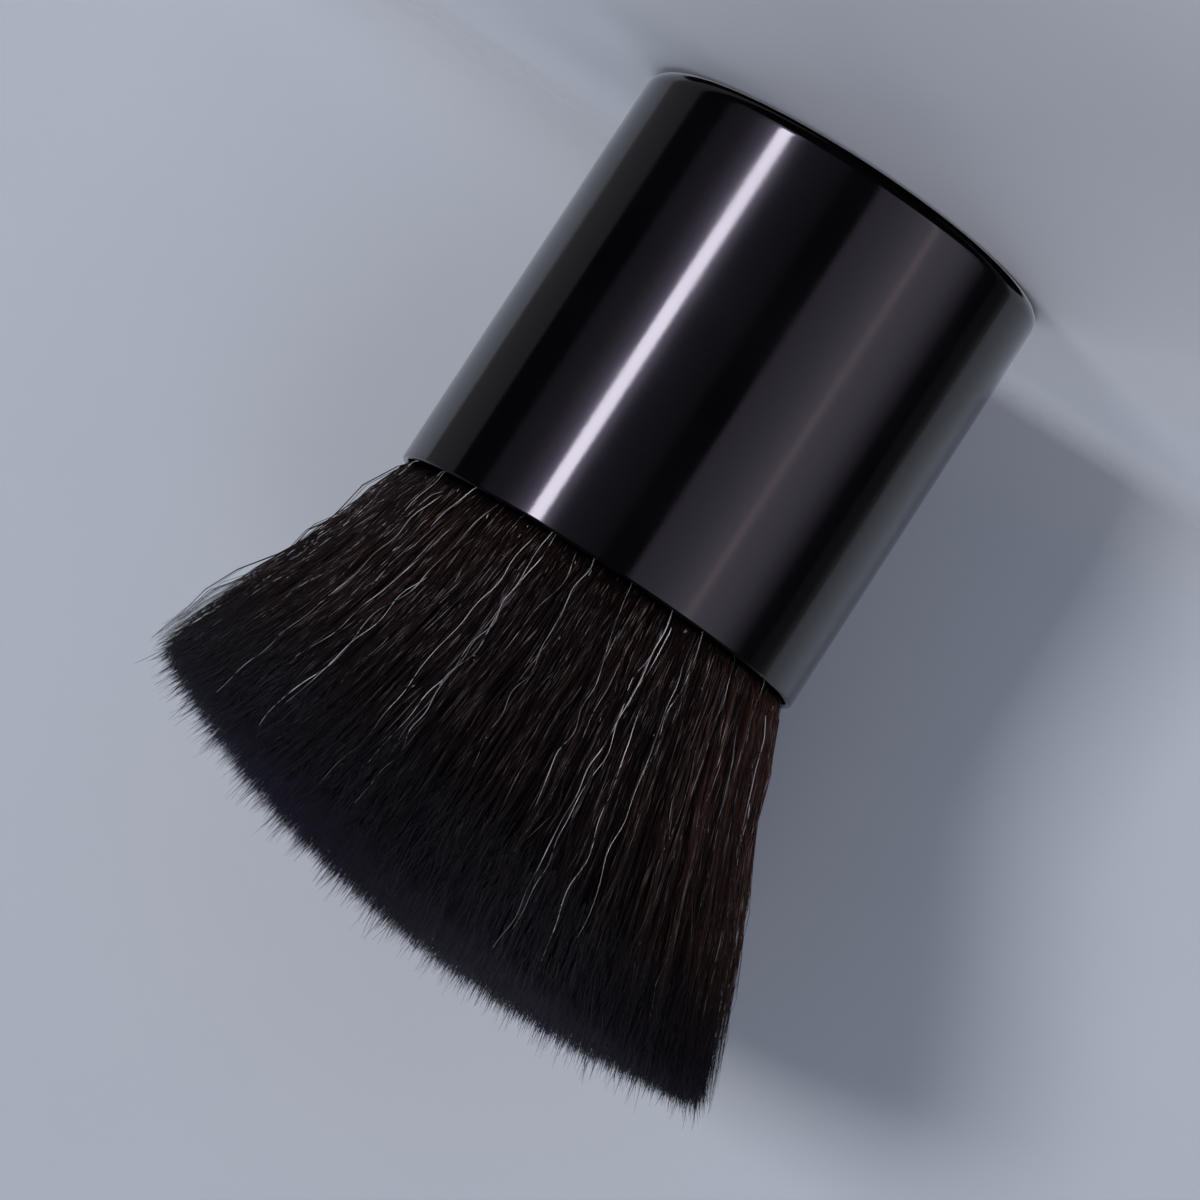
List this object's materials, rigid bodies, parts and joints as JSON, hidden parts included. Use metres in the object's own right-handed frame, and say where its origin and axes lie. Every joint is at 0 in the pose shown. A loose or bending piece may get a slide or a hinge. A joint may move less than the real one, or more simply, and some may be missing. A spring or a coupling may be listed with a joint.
{
  "type": "makeup brush",
  "caption": "Short kabuki makeup brush: a flared, slant-cut crowned knot of soft dark hair with silvery crimped filaments, in a gloss black drawn metal handle that stands on its closed end.",
  "frame": {"origin": "middle of the flat closed end of the handle, where the brush stands", "axes": "+Z along the handle towards the hair; +X towards the side of the shorter hair as the picture shows it"},
  "size_m": [0.0559, 0.0549, 0.0667],
  "materials": {
    "black_lacquer": "high gloss black lacquer over drawn aluminium",
    "bare_aluminium": "bare drawn aluminium",
    "moulded_plastic": "grey moulded plastic, as it comes from the tool",
    "cured_adhesive": "cured amber adhesive",
    "potting_resin": "cured brown epoxy resin",
    "soft_hair": "very dark brown soft hair with a low natural sheen and blue-black tips",
    "silver_filament": "fine silvery crimped filament with a bright sheen"
  },
  "bodies": {
    "root": {"handle_shell": "black_lacquer", "base_adhesive": "cured_adhesive", "core_insert": "moulded_plastic", "knot_adhesive": "cured_adhesive", "knot_ferrule": "bare_aluminium", "root_potting": "potting_resin", "bristle_knot": "soft_hair", "crimped_filaments": "silver_filament"}
  },
  "joints": []
}
